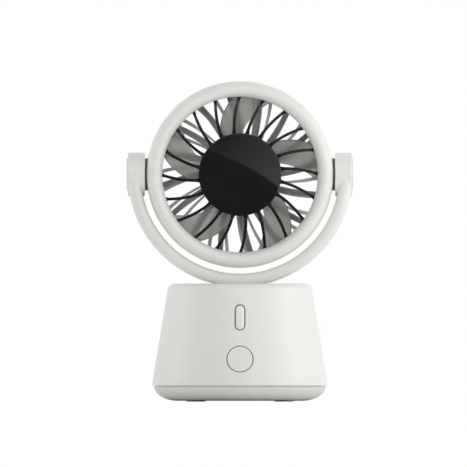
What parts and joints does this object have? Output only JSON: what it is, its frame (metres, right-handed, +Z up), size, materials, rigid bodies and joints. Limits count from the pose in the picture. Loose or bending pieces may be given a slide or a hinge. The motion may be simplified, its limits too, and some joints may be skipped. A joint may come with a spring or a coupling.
{
  "type": "desk fan",
  "caption": "Small desk fan: a round head with a swept guard tilts in a half-ring yoke that turns on a conical battery base.",
  "frame": {"origin": "on the ground under the centre of the base", "axes": "+Z up, the fan blows towards -Y, the tilt axis runs along X"},
  "size_m": [0.136, 0.1058, 0.1923],
  "materials": {
    "body_white": "satin moulded",
    "key_white": "satin moulded",
    "tray_white": "fine matt",
    "foot_rubber": "matt",
    "guard_black": "gloss",
    "cap_black": "high gloss",
    "blade_grey": "satin",
    "vane_grey": "satin",
    "grille_grey": "satin",
    "collar_dark": "matt",
    "inner_plastic": "moulded",
    "slide_white": "smooth",
    "cell_wrap": "heat-shrink",
    "circuit_board": "solder mask",
    "chip_black": "moulded",
    "motor_case": "drawn",
    "screw_steel": "zinc plated",
    "shaft_steel": "ground",
    "socket_steel": "stamped",
    "core_steel": "laminated",
    "winding_copper": "enamelled",
    "magnet_dark": "sintered"
  },
  "bodies": {
    "base": {"base_shell": "body_white", "base_tray": "tray_white", "rubber_feet": "foot_rubber", "tray_screws": "screw_steel", "battery_cradle": "inner_plastic", "battery_cells": "cell_wrap", "battery_clamp": "inner_plastic", "main_board": "circuit_board", "board_parts": "chip_black", "board_screws": "screw_steel", "usb_socket": "socket_steel", "key_board": "circuit_board", "key_board_screws": "screw_steel", "tact_switches": "chip_black", "swing_motor": "motor_case", "swing_motor_screws": "screw_steel", "glide_washer": "slide_white"},
    "power_key": {"power_button": "body_white", "power_plunger": "inner_plastic"},
    "swing_key_body": {"swing_key": "key_white", "swing_plunger": "inner_plastic"},
    "yoke": {"turntable": "body_white", "swing_shaft": "shaft_steel", "turntable_retainer": "screw_steel", "retainer_screws": "screw_steel", "yoke_foot_screws": "screw_steel", "yoke_front_shell": "body_white", "yoke_rear_shell": "body_white", "yoke_screws": "screw_steel", "right_pivot_cap": "body_white", "left_pivot_cap": "body_white", "pivot_bushings": "slide_white"},
    "head": {"front_ring": "body_white", "head_shell": "body_white", "ring_screws": "screw_steel", "front_guard": "guard_black", "hub_cap": "cap_black", "rear_grille": "grille_grey", "rear_cap": "grille_grey", "motor_mount": "vane_grey", "air_duct": "vane_grey", "stator_core": "core_steel", "stator_windings": "winding_copper", "motor_board": "circuit_board", "ball_bearings": "shaft_steel", "right_tilt_axle": "shaft_steel", "left_tilt_axle": "shaft_steel", "right_collar": "collar_dark", "left_collar": "collar_dark", "axle_nuts": "screw_steel", "friction_washers": "screw_steel"},
    "fan": {"impeller": "blade_grey", "impeller_nut": "screw_steel", "rotor_can": "core_steel", "rotor_magnet": "magnet_dark", "motor_shaft": "shaft_steel", "shaft_clip": "screw_steel"}
  },
  "joints": [
    {"name": "pan", "type": "hinge", "parent": "base", "child": "yoke", "pos_m": [0, 0, 0.07], "axis": [0, 0, 1], "range_deg": [-45, 45]},
    {"name": "tilt", "type": "hinge", "parent": "yoke", "child": "head", "pos_m": [0, 0, 0.1363], "axis": [-1, 0, 0], "range_deg": [-30, 90]},
    {"name": "fan_spin", "type": "hinge", "parent": "head", "child": "fan", "pos_m": [0, 0, 0.1363], "axis": [0, -1, 0], "continuous": true},
    {"name": "power_press", "type": "slide", "parent": "base", "child": "power_key", "axis": [0, 0.9868, -0.1618], "range_m": [0, 0.0006], "stiffness_N_per_m": 1500, "springref_m": -0.0004},
    {"name": "swing_press", "type": "slide", "parent": "base", "child": "swing_key_body", "axis": [0, 0.9868, -0.1618], "range_m": [0, 0.0006], "stiffness_N_per_m": 1500, "springref_m": -0.0004}
  ]
}
